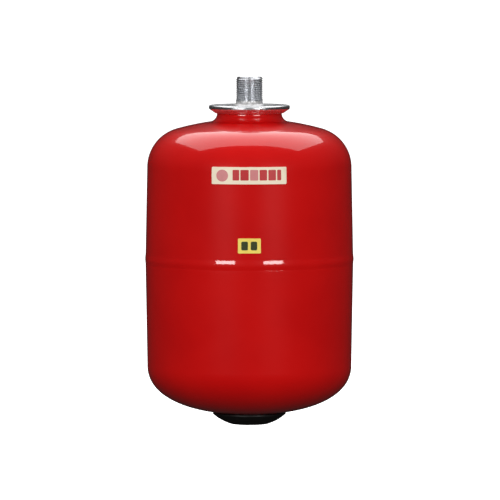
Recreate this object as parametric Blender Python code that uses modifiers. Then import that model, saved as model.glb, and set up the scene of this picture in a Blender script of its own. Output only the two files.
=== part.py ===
"""Expansion vessel, 8 litres, bag type, with a G 3/4 water connection.

Two deep-drawn steel shells are lapped and welded round the middle.  The neck
of the upper shell carries a zinc-plated counterflange, crimped over the lip,
with the threaded nipple welded to it.  A rubber bag hangs in the vessel from
the neck.  The air side is charged through a tank valve in a recess under the
bottom, and a push-on plastic cap covers it.

The vessel stands on that cap at Z = 0.  +Z is up and the labels face -Y.
"""
import math

import bmesh
import bpy

MM = 0.001

# --- fits -------------------------------------------------------------------
GAP = 0.3 * MM                 # between any two pieces that touch

# --- vessel body ------------------------------------------------------------
BODY_R = 100.0 * MM            # nominal radius, ends of the two shells
SEAM_SWELL = 1.6 * MM          # draft: how much wider the shells are at the seam
SHELL_T = 1.2 * MM             # sheet thickness of both shells
LOWER_WALL_H = 102.7 * MM      # lower knuckle to seam
UPPER_WALL_H = 90.7 * MM       # seam to upper knuckle
BOTTOM_DEPTH = 48.5 * MM       # lower end, knuckle line to pole
BOTTOM_SQUARENESS = 2.29       # 2 is a plain ellipse
TOP_KNUCKLE_R = 39.0 * MM      # upper dished end
TOP_CROWN_R = 265.0 * MM
SEAM_HALF_GAP = 3.3 * MM       # half the groove that the weld fills
LAP_LEN = 12.0 * MM            # lower shell's rim inside the upper one
WELD_CROWN = 0.8 * MM          # how far the weld stands off the shell

# --- neck and counterflange -------------------------------------------------
NECK_R = 32.1 * MM             # waist of the neck, outside
NECK_FILLET = 5.5 * MM         # neck to crown
NECK_WAIST_H = 10.5 * MM       # waist to top of counterflange
FLANGE_OVERHANG = 7.5 * MM      # waist of the neck to the flange's edge
FLANGE_T = 1.2 * MM            # zinc-plated sheet
LIP_SLOPE = math.radians(34)   # flare of the neck lip and of the crimp
BEAD_T = 0.5 * MM              # bag bead at the edge of the lip

# --- water connection, G 3/4 ------------------------------------------------
THREAD_R = 13.22 * MM          # crest radius
NIPPLE_BORE_R = 9.75 * MM
NIPPLE_LEN = 27.5 * MM         # above the counterflange
SPIGOT_DROP = 3.0 * MM         # below the top face of the counterflange
NIPPLE_CHAMFER = 1.0 * MM
NIPPLE_WELD = 2.6 * MM         # leg of the fillet weld

# --- rubber bag -------------------------------------------------------------
BAG_R = 62.0 * MM
BAG_T = 1.8 * MM
BAG_FLOOR_RISE = 52.0 * MM     # bottom of the bag above the pole

# --- air valve --------------------------------------------------------------
VALVE_SHANK_R = 6.0 * MM
VALVE_HEAD_R = 10.5 * MM
VALVE_HEAD_T = 2.5 * MM
GASKET_T = 1.8 * MM
WASHER_T = 1.5 * MM
WASHER_R = 10.5 * MM
NUT_H = 4.0 * MM
NUT_ACROSS_FLATS = 17.0 * MM
STEM_R = 3.85 * MM             # VG8 thread
STEM_LEN = 8.7 * MM            # below the nut
STEM_BORE_R = 2.95 * MM
CAP_R = 5.3 * MM               # dust cap
CAP_T = 1.15 * MM
CAP_FLOOR_T = 1.2 * MM
CAP_SHY_OF_NUT = 2.9 * MM       # rim of the dust cap to the nut
CAP_SEAL_T = 1.0 * MM
CAP_TRAVEL = 3.6 * MM          # unscrewed, four and a half turns
PIN_R = 0.55 * MM
SPRING_WIRE_R = 0.11 * MM
SPRING_TURNS = 4

# --- bottom cap -------------------------------------------------------------
COVER_R = 35.8 * MM
COVER_BASE_R = 18.3 * MM
COVER_T = 1.6 * MM
COVER_BOWL = 1.1 * MM          # how far the side bulges off a straight cone
COVER_LIP_H = 1.6 * MM
COVER_HUB_T = 1.5 * MM
COVER_CLEARANCE = 1.2 * MM     # under the dust cap when it is unscrewed
RECESS_FLOOR_R = 21.0 * MM
RECESS_MOUTH_R = 27.0 * MM

# --- labels -----------------------------------------------------------------
LABEL_T = 0.3 * MM
BRAND_W = 75.0 * MM
BRAND_H = 17.0 * MM
BRAND_BELOW_KNUCKLE = 2.0 * MM
NOTICE_W = 23.0 * MM
NOTICE_H = 15.0 * MM
NOTICE_ABOVE_SEAM = 19.7 * MM

# --- mesh fineness ----------------------------------------------------------
BODY_STEPS = 40
SMALL_STEPS = 24
TINY_STEPS = 12

# --- heights that follow from the sizes above -------------------------------
NUT_CORNER_R = NUT_ACROSS_FLATS / 2 / math.cos(math.pi / 6)
CAP_BOTTOM_Z = COVER_T + COVER_CLEARANCE + CAP_TRAVEL
TIP_Z = CAP_BOTTOM_Z + CAP_FLOOR_T + GAP + CAP_SEAL_T + GAP
NUT_Z = TIP_Z + STEM_LEN
CAP_H = NUT_Z - CAP_SHY_OF_NUT - CAP_BOTTOM_Z
WASHER_Z = NUT_Z + NUT_H + GAP
FLOOR_Z = WASHER_Z + WASHER_T + GAP
GASKET_Z = FLOOR_Z + SHELL_T + GAP
HEAD_Z = GASKET_Z + GASKET_T + GAP

POLE_Z = 9.95 * MM
LOWER_KNUCKLE_Z = POLE_Z + BOTTOM_DEPTH
SEAM_Z = LOWER_KNUCKLE_Z + LOWER_WALL_H
UPPER_KNUCKLE_Z = SEAM_Z + UPPER_WALL_H
SEAM_R = BODY_R + SEAM_SWELL

TOP_KNUCKLE_CENTRE_R = BODY_R - TOP_KNUCKLE_R
CROWN_CENTRE_Z = UPPER_KNUCKLE_Z - math.sqrt(
    (TOP_CROWN_R - TOP_KNUCKLE_R) ** 2 - TOP_KNUCKLE_CENTRE_R ** 2)
NECK_Z = CROWN_CENTRE_Z + math.sqrt(
    (TOP_CROWN_R + NECK_FILLET) ** 2 - (NECK_R + NECK_FILLET) ** 2)
FLANGE_Z = NECK_Z + NECK_WAIST_H
FLANGE_R = NECK_R + FLANGE_OVERHANG
NIPPLE_TOP_Z = FLANGE_Z + NIPPLE_LEN

# --- crimp: parallel sloping layers under the counterflange -----------------
LIP_END_R = FLANGE_R - FLANGE_T - 2.2 * MM
CRIMP_END_R = NECK_R + 2.5 * MM
BEAD_TOP_Z = FLANGE_Z - FLANGE_T - GAP


def slope_line(z_at_lip_end):
    """Return z(r) of a line at the lip's slope through a height at the lip end."""
    def height(r):
        return z_at_lip_end + (r - LIP_END_R) * math.tan(LIP_SLOPE)
    return height


STEEP = 1 / math.cos(LIP_SLOPE)
bead_underside = slope_line(BEAD_TOP_Z - BEAD_T)
lip_top = slope_line(BEAD_TOP_Z - BEAD_T - GAP * STEEP)
lip_underside = slope_line(BEAD_TOP_Z - BEAD_T - (GAP + SHELL_T) * STEEP)
crimp_underside = slope_line(BEAD_TOP_Z - BEAD_T - (2 * GAP + SHELL_T + FLANGE_T) * STEEP)


# --- outlines in the (radius, height) plane ---------------------------------
def arc(centre_r, centre_z, radius, start, end, count):
    """Points on an arc; angles in degrees from the +radius direction."""
    points = []
    for i in range(count + 1):
        angle = math.radians(start + (end - start) * i / count)
        points.append((centre_r + radius * math.cos(angle), centre_z + radius * math.sin(angle)))
    return points


def rounded(corners, count=3):
    """Path through corners (r, z, fillet); the first and last stay sharp."""
    points = [corners[0][:2]]
    for before, corner, after in zip(corners, corners[1:], corners[2:]):
        r, z, fillet = corner
        if fillet == 0:
            points.append((r, z))
            continue
        back = (before[0] - r, before[1] - z)
        on = (after[0] - r, after[1] - z)
        back_len = math.hypot(*back)
        on_len = math.hypot(*on)
        back = (back[0] / back_len, back[1] / back_len)
        on = (on[0] / on_len, on[1] / on_len)
        half = math.acos(max(-1.0, min(1.0, back[0] * on[0] + back[1] * on[1]))) / 2
        reach = fillet / math.tan(half)
        middle = (back[0] + on[0], back[1] + on[1])
        middle_len = math.hypot(*middle)
        away = fillet / math.sin(half)
        centre = (r + middle[0] / middle_len * away, z + middle[1] / middle_len * away)
        first = math.atan2(z + back[1] * reach - centre[1], r + back[0] * reach - centre[0])
        last = math.atan2(z + on[1] * reach - centre[1], r + on[0] * reach - centre[0])
        turn = (last - first + math.pi) % (2 * math.pi) - math.pi
        for i in range(count + 1):
            angle = first + turn * i / count
            points.append((centre[0] + fillet * math.cos(angle), centre[1] + fillet * math.sin(angle)))
    points.append(corners[-1][:2])
    return points


def bowed(start, end, bulge, count):
    """Arc from start to end that stands off the chord by bulge, to its right."""
    chord_r = end[0] - start[0]
    chord_z = end[1] - start[1]
    chord = math.hypot(chord_r, chord_z)
    points = []
    for i in range(count + 1):
        t = i / count
        off = bulge * 4 * t * (1 - t)
        points.append((start[0] + chord_r * t + chord_z / chord * off,
                       start[1] + chord_z * t - chord_r / chord * off))
    return points


def parallel(path, distance):
    """Path moved to its right-hand side, with mitred corners."""
    normals = []
    for start, end in zip(path, path[1:]):
        step_r = end[0] - start[0]
        step_z = end[1] - start[1]
        length = math.hypot(step_r, step_z)
        normals.append((step_z / length, -step_r / length))
    moved = []
    for i, (r, z) in enumerate(path):
        before = normals[max(i - 1, 0)]
        after = normals[min(i, len(normals) - 1)]
        scale = distance / (1 + before[0] * after[0] + before[1] * after[1])
        moved.append((r + (before[0] + after[0]) * scale, z + (before[1] + after[1]) * scale))
    return moved


def sheet(path, thickness):
    """Closed section of a pressed sheet whose outer face is the path."""
    return path + parallel(path, thickness)[::-1]


def box_section(inner_r, outer_r, bottom_z, top_z):
    """Rectangular section of a ring."""
    return [(inner_r, top_z), (outer_r, top_z), (outer_r, bottom_z), (inner_r, bottom_z)]


# --- building blocks --------------------------------------------------------
collection = bpy.data.collections.new("expansion_vessel")


def material(name, colour, roughness, metallic):
    made = bpy.data.materials.new(name)
    made.use_nodes = True
    shader = made.node_tree.nodes["Principled BSDF"]
    shader.inputs["Base Color"].default_value = (*colour, 1.0)
    shader.inputs["Roughness"].default_value = roughness
    shader.inputs["Metallic"].default_value = metallic
    return made


def place(name, data, surface, z=0.0):
    piece = bpy.data.objects.new(name, data)
    piece.location.z = z
    data.materials.append(surface)
    collection.objects.link(piece)
    return piece


def turned(name, section, surface, steps, z=0.0, closed=True, smooth=True):
    """Solid of revolution about Z; an open section starts and ends on the axis."""
    area = 0.0
    for (r0, z0), (r1, z1) in zip(section, section[1:] + section[:1]):
        area += r0 * z1 - r1 * z0
    if area > 0:
        section = section[::-1]
    count = len(section)
    edges = [(i, i + 1) for i in range(count - 1)]
    if closed:
        edges.append((count - 1, 0))
    data = bpy.data.meshes.new(name)
    data.from_pydata([(r, 0.0, height - z) for r, height in section], edges, [])
    piece = place(name, data, surface, z)
    screw = piece.modifiers.new("Turn", 'SCREW')
    screw.axis = 'Z'
    screw.angle = 2 * math.pi
    screw.steps = steps
    screw.render_steps = steps
    screw.use_merge_vertices = True
    screw.merge_threshold = 0.00001
    screw.use_smooth_shade = smooth
    return piece


def flat_ring(name, outline, hole_r, thickness, surface, z):
    """Plate with a round hole: a filled curve, extruded to its thickness."""
    curve = bpy.data.curves.new(name, 'CURVE')
    curve.dimensions = '2D'
    curve.fill_mode = 'BOTH'
    curve.extrude = thickness / 2
    hole = [(hole_r * math.cos(2 * math.pi * i / SMALL_STEPS),
             hole_r * math.sin(2 * math.pi * i / SMALL_STEPS)) for i in range(SMALL_STEPS)]
    for loop in (outline, hole):
        spline = curve.splines.new('POLY')
        spline.points.add(len(loop) - 1)
        spline.use_cyclic_u = True
        for point, (x, y) in zip(spline.points, loop):
            point.co = (x, y, 0.0, 1.0)
    return place(name, curve, surface, z + thickness / 2)


def wall_label(name, width, height, centre_z, surface):
    """Thin sticker that follows the wall of the upper shell, facing -Y."""
    columns = 10
    data = bpy.data.meshes.new(name)
    mesh = bmesh.new()
    rows = []
    for z in (centre_z - height / 2, centre_z + height / 2):
        r = upper_wall_r(z) + GAP
        row = []
        for i in range(columns + 1):
            angle = (i / columns - 0.5) * width / r
            row.append(mesh.verts.new((r * math.sin(angle), -r * math.cos(angle), z - centre_z)))
        rows.append(row)
    for i in range(columns):
        mesh.faces.new((rows[0][i], rows[0][i + 1], rows[1][i + 1], rows[1][i]))
    mesh.to_mesh(data)
    mesh.free()
    piece = place(name, data, surface, centre_z)
    thick = piece.modifiers.new("Thickness", 'SOLIDIFY')
    thick.thickness = LABEL_T
    thick.offset = 1.0
    return piece


# --- shapes of the vessel ---------------------------------------------------
UPPER_EDGE_Z = SEAM_Z + SEAM_HALF_GAP
LOWER_EDGE_Z = SEAM_Z - SEAM_HALF_GAP


def upper_wall_r(z):
    """Outside radius of the upper shell's drafted wall."""
    return BODY_R + SEAM_SWELL * (UPPER_KNUCKLE_Z - z) / (UPPER_KNUCKLE_Z - UPPER_EDGE_Z)


def bottom_z(r):
    """Outside height of the lower end at a radius."""
    return LOWER_KNUCKLE_Z - BOTTOM_DEPTH * (
        1 - (r / BODY_R) ** BOTTOM_SQUARENESS) ** (1 / BOTTOM_SQUARENESS)


def upper_shell_path():
    """Outer face from the neck lip down to the seam."""
    flare = rounded([
        (LIP_END_R, lip_underside(LIP_END_R), 0),
        (NECK_R, lip_underside(NECK_R), 2.2 * MM),
        (NECK_R, NECK_Z, 0)])
    meeting = math.degrees(math.asin((NECK_R + NECK_FILLET) / (TOP_CROWN_R + NECK_FILLET)))
    neck = arc(NECK_R + NECK_FILLET, NECK_Z, NECK_FILLET, 180, 270 - meeting, 4)
    knuckle = math.degrees(math.asin(TOP_KNUCKLE_CENTRE_R / (TOP_CROWN_R - TOP_KNUCKLE_R)))
    crown = arc(0, CROWN_CENTRE_Z, TOP_CROWN_R, 90 - meeting, 90 - knuckle, 3)
    shoulder = arc(TOP_KNUCKLE_CENTRE_R, UPPER_KNUCKLE_Z, TOP_KNUCKLE_R, 90 - knuckle, 0, 6)
    return flare + neck[1:] + crown[1:] + shoulder[1:] + [(SEAM_R, UPPER_EDGE_Z)]


def lower_shell_path():
    """Outer face from the lapped rim down to the edge of the valve hole."""
    lap_top_z = UPPER_EDGE_Z + LAP_LEN
    lap_r = upper_wall_r(lap_top_z) - SHELL_T - 1.2 * GAP
    rim = [(lap_r, lap_top_z),
           (lap_r, LOWER_EDGE_Z + 1.6 * MM),
           (SEAM_R, LOWER_EDGE_Z - 0.4 * MM)]
    end = []
    count = 12
    for i in range(count + 1):
        angle = math.radians(90 * i / count)
        r = BODY_R * math.cos(angle) ** (2 / BOTTOM_SQUARENESS)
        if r < RECESS_MOUTH_R + 5 * MM:
            break
        end.append((r, bottom_z(r)))
    recess = rounded([
        (RECESS_MOUTH_R + 4 * MM, bottom_z(RECESS_MOUTH_R + 4 * MM), 0),
        (RECESS_MOUTH_R, bottom_z(RECESS_MOUTH_R), 2.0 * MM),
        (RECESS_FLOOR_R, FLOOR_Z, 3.0 * MM),
        (VALVE_SHANK_R + GAP, FLOOR_Z, 0)], 3)
    return rim + end + recess


def weld_section():
    """Girth weld: fills the groove between the shell edges, with a low crown."""
    root_r = SEAM_R - SHELL_T
    low = LOWER_EDGE_Z + 0.6 * MM
    high = UPPER_EDGE_Z - GAP
    crown = []
    for i in range(7):
        t = i / 6
        crown.append((SEAM_R + WELD_CROWN * math.sin(math.pi * t), high + (low - high) * t))
    return crown + [(root_r, low + 1.8 * MM), (root_r, high)]


def counterflange_section():
    """Flat plate with its edge rolled down and in, under the neck lip."""
    edge_z = crimp_underside(FLANGE_R)
    path = rounded([
        (THREAD_R - 0.6 * MM + GAP, FLANGE_Z, 0),
        (FLANGE_R, FLANGE_Z, 1.6 * MM),
        (FLANGE_R, edge_z, 1.8 * MM),
        (CRIMP_END_R, crimp_underside(CRIMP_END_R), 0)])
    return sheet(path, FLANGE_T)


def bladder_section():
    """Moulded bag: bead under the counterflange, throat, pear-shaped body."""
    throat_r = NECK_R - SHELL_T - 2 * GAP
    floor_z = POLE_Z + BAG_FLOOR_RISE
    wall = rounded([
        (throat_r, BEAD_TOP_Z, 0),
        (throat_r, NECK_Z - 8 * MM, 10 * MM),
        (BAG_R, UPPER_KNUCKLE_Z + 6 * MM, 26 * MM),
        (BAG_R, floor_z, 50 * MM),
        (0, floor_z, 0)], 4)
    bead_r = LIP_END_R - 0.5 * MM
    outer = [(bead_r, BEAD_TOP_Z), (bead_r, bead_underside(bead_r)),
             (throat_r, bead_underside(throat_r))] + wall[1:]
    inner = parallel(wall, BAG_T)[::-1]
    return inner + outer


def nipple_section():
    """Threaded tube with a plain spigot through the counterflange."""
    spigot_r = THREAD_R - 0.6 * MM
    foot_z = FLANGE_Z + NIPPLE_WELD + 2 * GAP
    return [
        (NIPPLE_BORE_R, NIPPLE_TOP_Z),
        (THREAD_R - NIPPLE_CHAMFER, NIPPLE_TOP_Z),
        (THREAD_R, NIPPLE_TOP_Z - NIPPLE_CHAMFER),
        (THREAD_R, foot_z + NIPPLE_CHAMFER),
        (spigot_r, foot_z),
        (spigot_r, FLANGE_Z - SPIGOT_DROP),
        (NIPPLE_BORE_R, FLANGE_Z - SPIGOT_DROP)]


def nipple_weld_section():
    """Fillet weld between the spigot and the counterflange."""
    inner_r = THREAD_R - 0.6 * MM + GAP
    low = FLANGE_Z + GAP
    return [
        (inner_r, low + NIPPLE_WELD),
        (inner_r + 0.5 * MM, low + NIPPLE_WELD),
        (inner_r + NIPPLE_WELD * 0.55, low + NIPPLE_WELD * 0.42),
        (inner_r + NIPPLE_WELD, low + 0.3 * MM),
        (inner_r + NIPPLE_WELD, low),
        (inner_r, low)]


def valve_stem_section():
    """Head inside the vessel, shank through the floor, thin thread for the cap."""
    head_top = HEAD_Z + VALVE_HEAD_T
    chamber_top = TIP_Z + 12.5 * MM
    return [
        (2.0 * MM, head_top),
        (VALVE_HEAD_R, head_top),
        (VALVE_HEAD_R, HEAD_Z),
        (VALVE_SHANK_R, HEAD_Z),
        (VALVE_SHANK_R, NUT_Z - 0.4 * MM),
        (STEM_R, NUT_Z - 1.8 * MM),
        (STEM_R, TIP_Z + 0.4 * MM),
        (STEM_R - 0.4 * MM, TIP_Z),
        (STEM_BORE_R, TIP_Z),
        (STEM_BORE_R, chamber_top),
        (2.0 * MM, chamber_top + 0.8 * MM)]


BARREL_R = STEM_BORE_R - GAP
CHAMBER_R = 1.35 * MM


def core_barrel_section():
    """Valve core barrel: open outer end, spring chamber, ledge with the pin hole."""
    neck_r = CHAMBER_R + 0.6 * MM
    low = TIP_Z + 0.8 * MM
    high = TIP_Z + 7.8 * MM
    return [
        (PIN_R + GAP, high),
        (neck_r, high),
        (neck_r, TIP_Z + 3.8 * MM),
        (BARREL_R, TIP_Z + 3.8 * MM),
        (BARREL_R, low),
        (CHAMBER_R, low),
        (CHAMBER_R, TIP_Z + 6.6 * MM),
        (PIN_R + GAP, TIP_Z + 6.6 * MM)]


def core_pin_section():
    """Pin with the spring collar near its tip and the poppet disc at its head."""
    tip = TIP_Z + 0.2 * MM
    return [
        (0, TIP_Z + 10.6 * MM),
        (1.9 * MM, TIP_Z + 10.6 * MM),
        (1.9 * MM, TIP_Z + 9.9 * MM),
        (PIN_R, TIP_Z + 9.9 * MM),
        (PIN_R, TIP_Z + 1.8 * MM),
        (CHAMBER_R - GAP, TIP_Z + 1.8 * MM),
        (CHAMBER_R - GAP, TIP_Z + 1.2 * MM),
        (PIN_R, TIP_Z + 1.2 * MM),
        (PIN_R, tip),
        (0, tip)]


def core_spring_curve():
    """Coil between the pin's collar and the ledge in the barrel."""
    low = TIP_Z + 1.8 * MM + GAP + SPRING_WIRE_R
    high = TIP_Z + 6.6 * MM - GAP - SPRING_WIRE_R
    coil_r = PIN_R + GAP + SPRING_WIRE_R + 0.01 * MM
    curve = bpy.data.curves.new("core_spring", 'CURVE')
    curve.dimensions = '3D'
    curve.bevel_depth = SPRING_WIRE_R
    curve.bevel_resolution = 1
    curve.use_fill_caps = True
    spline = curve.splines.new('POLY')
    per_turn = 10
    count = SPRING_TURNS * per_turn
    spline.points.add(count)
    for i, point in enumerate(spline.points):
        angle = 2 * math.pi * i / per_turn
        z = low + (high - low) * i / count
        point.co = (coil_r * math.cos(angle), coil_r * math.sin(angle), z - low, 1.0)
    return curve, low


def dust_cap_section():
    """Screw cap, open at the top, over the valve thread."""
    top = CAP_BOTTOM_Z + CAP_H
    return [
        (0, CAP_BOTTOM_Z + CAP_FLOOR_T),
        (CAP_R - CAP_T, CAP_BOTTOM_Z + CAP_FLOOR_T),
        (CAP_R - CAP_T, top),
        (CAP_R, top),
        (CAP_R, CAP_BOTTOM_Z + 0.6 * MM),
        (CAP_R - 0.6 * MM, CAP_BOTTOM_Z),
        (0, CAP_BOTTOM_Z)]


def cover_section():
    """Shallow bowl with a flat base and a hub that pushes over the valve nut."""
    rim_z = bottom_z(COVER_R - COVER_T) - 1.2 * GAP
    hub_in = NUT_CORNER_R + GAP
    hub_out = hub_in + COVER_HUB_T
    hub_top = NUT_Z + NUT_H - 1.0 * MM
    side = bowed((COVER_R, rim_z - COVER_LIP_H), (COVER_BASE_R, 0), -COVER_BOWL, 4)
    inner = [(r, z) for r, z in parallel([(COVER_R, rim_z)] + side, COVER_T)[:-1]
             if r > hub_out + 2 * MM and z > COVER_T + 0.2 * MM]
    return ([(0, COVER_T), (hub_in, COVER_T), (hub_in, hub_top), (hub_out, hub_top),
             (hub_out, COVER_T), (COVER_BASE_R + 1.5 * MM, COVER_T)]
            + inner[::-1][:-1]
            + [(COVER_R - COVER_T, rim_z), (COVER_R, rim_z)] + side + [(0, 0)])


# --- scene ------------------------------------------------------------------
for thing in list(bpy.data.objects):
    bpy.data.objects.remove(thing)
bpy.context.scene.collection.children.link(collection)

red_paint = material("red_paint", (0.46, 0.010, 0.008), 0.22, 0.0)
zinc = material("zinc_plate", (0.72, 0.73, 0.75), 0.30, 1.0)
weld_steel = material("weld_steel", (0.55, 0.55, 0.57), 0.45, 1.0)
bag_rubber = material("bag_rubber", (0.03, 0.03, 0.03), 0.60, 0.0)
seal_rubber = material("seal_rubber", (0.02, 0.02, 0.02), 0.55, 0.0)
brass = material("valve_brass", (0.71, 0.51, 0.22), 0.30, 1.0)
spring_steel = material("spring_steel", (0.62, 0.62, 0.64), 0.28, 1.0)
cap_plastic = material("cap_plastic", (0.012, 0.011, 0.011), 0.40, 0.0)
brand_film = material("brand_film", (0.98, 0.90, 0.74), 0.45, 0.0)
notice_film = material("notice_film", (0.91, 0.68, 0.10), 0.45, 0.0)

# shells
turned("upper_shell", sheet(upper_shell_path(), SHELL_T), red_paint, BODY_STEPS)
turned("lower_shell", sheet(lower_shell_path(), SHELL_T), red_paint, BODY_STEPS)
turned("girth_weld", weld_section(), red_paint, BODY_STEPS, SEAM_Z)

# closure and water connection
turned("counterflange", counterflange_section(), zinc, BODY_STEPS, FLANGE_Z)
turned("connection_nipple", nipple_section(), zinc, SMALL_STEPS, FLANGE_Z)
turned("nipple_weld", nipple_weld_section(), weld_steel, SMALL_STEPS, FLANGE_Z)
turned("bladder", bladder_section(), bag_rubber, SMALL_STEPS, NECK_Z, closed=False)

# air valve
turned("valve_stem", valve_stem_section(), brass, SMALL_STEPS, TIP_Z)
turned("valve_gasket", box_section(VALVE_SHANK_R + GAP, VALVE_HEAD_R + 0.5 * MM,
                                   GASKET_Z, GASKET_Z + GASKET_T),
       seal_rubber, SMALL_STEPS, GASKET_Z, smooth=False)
turned("valve_washer", box_section(VALVE_SHANK_R + GAP, WASHER_R,
                                   WASHER_Z, WASHER_Z + WASHER_T),
       zinc, SMALL_STEPS, WASHER_Z, smooth=False)
hexagon = [(NUT_CORNER_R * math.cos(math.radians(60 * i)),
            NUT_CORNER_R * math.sin(math.radians(60 * i))) for i in range(6)]
flat_ring("valve_nut", hexagon, VALVE_SHANK_R + GAP, NUT_H, zinc, NUT_Z)
turned("core_barrel", core_barrel_section(), brass, TINY_STEPS, TIP_Z)
turned("core_gasket", box_section(CHAMBER_R + 0.6 * MM + GAP, BARREL_R,
                                  TIP_Z + 4.2 * MM, TIP_Z + 6.2 * MM),
       seal_rubber, TINY_STEPS, TIP_Z, smooth=False)
coil, coil_z = core_spring_curve()
place("core_spring", coil, spring_steel, coil_z)

# pressed in to let air through: the pin, with the poppet seal it carries
turned("core_pin", core_pin_section(), brass, TINY_STEPS, TIP_Z, closed=False)
turned("poppet_seal", box_section(PIN_R + GAP, 1.9 * MM, TIP_Z + 8.1 * MM, TIP_Z + 9.6 * MM),
       seal_rubber, TINY_STEPS, TIP_Z, smooth=False)

# unscrewed downward: the dust cap, with its seal
turned("dust_cap", dust_cap_section(), cap_plastic, SMALL_STEPS, CAP_BOTTOM_Z, closed=False)
turned("dust_cap_seal", box_section(1.5 * MM, CAP_R - CAP_T - GAP,
                                    CAP_BOTTOM_Z + CAP_FLOOR_T + GAP,
                                    CAP_BOTTOM_Z + CAP_FLOOR_T + GAP + CAP_SEAL_T),
       seal_rubber, SMALL_STEPS, CAP_BOTTOM_Z, smooth=False)

# pulled off downward: the bottom cap that the vessel stands on
turned("valve_cover", cover_section(), cap_plastic, BODY_STEPS, closed=False)

# labels
wall_label("brand_label", BRAND_W, BRAND_H,
           UPPER_KNUCKLE_Z - BRAND_BELOW_KNUCKLE, brand_film)
wall_label("notice_label", NOTICE_W, NOTICE_H, SEAM_Z + NOTICE_ABOVE_SEAM, notice_film)
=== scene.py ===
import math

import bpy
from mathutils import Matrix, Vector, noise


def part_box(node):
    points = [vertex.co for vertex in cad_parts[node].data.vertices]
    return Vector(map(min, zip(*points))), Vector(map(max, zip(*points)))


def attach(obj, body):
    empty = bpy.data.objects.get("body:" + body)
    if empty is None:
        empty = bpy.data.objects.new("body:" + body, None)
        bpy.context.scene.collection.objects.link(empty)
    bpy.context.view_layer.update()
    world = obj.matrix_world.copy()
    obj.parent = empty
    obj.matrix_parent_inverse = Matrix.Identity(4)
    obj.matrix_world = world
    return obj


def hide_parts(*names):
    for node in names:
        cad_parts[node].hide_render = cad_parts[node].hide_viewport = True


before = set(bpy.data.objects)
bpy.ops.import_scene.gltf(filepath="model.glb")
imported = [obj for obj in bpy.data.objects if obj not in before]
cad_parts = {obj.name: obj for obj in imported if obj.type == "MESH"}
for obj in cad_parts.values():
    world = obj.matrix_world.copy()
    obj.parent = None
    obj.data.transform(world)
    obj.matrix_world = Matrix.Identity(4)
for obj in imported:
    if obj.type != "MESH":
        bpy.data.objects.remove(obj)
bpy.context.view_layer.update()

# Looks of an 8 litre expansion vessel: two drawn and welded steel shells in a
# red powder coat, a zinc-plated counterflange with a threaded nipple, a rubber
# bag, an air valve with its dust cap, and a moulded cap pushed over the valve.

MM = 0.001
MICRON = 0.000001
GAP = 0.3 * MM                 # room left between parts that are pushed together

# ---------------------------------------------------------------------------
# Sizes.  Heights come from the frame, radii are the maker's own.
# ---------------------------------------------------------------------------
UPPER_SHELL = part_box("upper_shell")
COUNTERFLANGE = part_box("counterflange")
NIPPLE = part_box("connection_nipple")
VALVE_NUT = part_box("valve_nut")
VALVE_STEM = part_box("valve_stem")
DUST_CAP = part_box("dust_cap")

SHELL_T = 1.2 * MM
BODY_R = 100.0 * MM
SEAM_SWELL = 1.6 * MM
SEAM_R = BODY_R + SEAM_SWELL
SEAM_HALF_GAP = 3.3 * MM
SEAM_Z = UPPER_SHELL[0][2] - SEAM_HALF_GAP
UPPER_EDGE_Z = SEAM_Z + SEAM_HALF_GAP
LOWER_EDGE_Z = SEAM_Z - SEAM_HALF_GAP
LAP_LEN = 12.0 * MM
UPPER_WALL_H = 90.7 * MM
LOWER_WALL_H = 102.7 * MM
UPPER_KNUCKLE_Z = SEAM_Z + UPPER_WALL_H
LOWER_KNUCKLE_Z = SEAM_Z - LOWER_WALL_H
BOTTOM_DEPTH = 48.5 * MM
BOTTOM_SQUARENESS = 2.29
TOP_KNUCKLE_R = 39.0 * MM
TOP_CROWN_R = 265.0 * MM
TOP_KNUCKLE_CENTRE_R = BODY_R - TOP_KNUCKLE_R

NECK_R = 31.7 * MM
NECK_FILLET = 8.0 * MM
NECK_DROP = 8.3 * MM
FLANGE_Z = COUNTERFLANGE[1][2]
NECK_Z = FLANGE_Z - NECK_DROP
FLANGE_R = 39.6 * MM
FLANGE_T = 1.2 * MM
LIP_SLOPE = math.radians(34)
BEAD_T = 0.5 * MM
CROWN_CENTRE_Z = NECK_Z - math.sqrt(
    (TOP_CROWN_R + NECK_FILLET) ** 2 - (NECK_R + NECK_FILLET) ** 2)

THREAD_R = 13.22 * MM          # G 3/4 crest
THREAD_ROOT_R = 12.06 * MM
THREAD_PITCH = 1.814 * MM
SPIGOT_R = THREAD_R - 0.6 * MM
NIPPLE_BORE_R = 9.75 * MM
NIPPLE_TOP_Z = NIPPLE[1][2]
NIPPLE_WELD = 1.9 * MM
NIPPLE_WELD_H = 3.9 * MM

BAG_R = 62.0 * MM
BAG_T = 1.8 * MM
BAG_CLEAR = 52.0 * MM
BAG_FLOOR_Z = LOWER_KNUCKLE_Z - BOTTOM_DEPTH + BAG_CLEAR
BAG_FOLDS = 8

NUT_Z = VALVE_NUT[0][2]
NUT_H = VALVE_NUT[1][2] - NUT_Z
NUT_ACROSS_FLATS = 17.0 * MM
NUT_CORNER_R = NUT_ACROSS_FLATS / 2 / math.cos(math.pi / 6)
TIP_Z = VALVE_STEM[0][2]
STEM_R = 3.85 * MM
STEM_ROOT_R = 3.40 * MM
STEM_PITCH = 0.794 * MM
STEM_THREAD_STEP = 0.066 * MM  # longest step down the stem's thread
STEM_BORE_R = 2.95 * MM
VALVE_SHANK_R = 6.0 * MM
VALVE_HEAD_R = 10.5 * MM
CAP_R = 5.3 * MM
CAP_T = 1.15 * MM
CAP_BOTTOM_Z = DUST_CAP[0][2]
CAP_H = DUST_CAP[1][2] - CAP_BOTTOM_Z

COVER_R = 35.8 * MM
COVER_BASE_R = 18.3 * MM
COVER_T = 1.6 * MM
COVER_BOWL = 1.1 * MM
COVER_LIP_H = 1.6 * MM
RECESS_FLOOR_R = 21.0 * MM
RECESS_MOUTH_R = 27.0 * MM
FLOOR_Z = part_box("valve_washer")[1][2] + GAP


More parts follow.
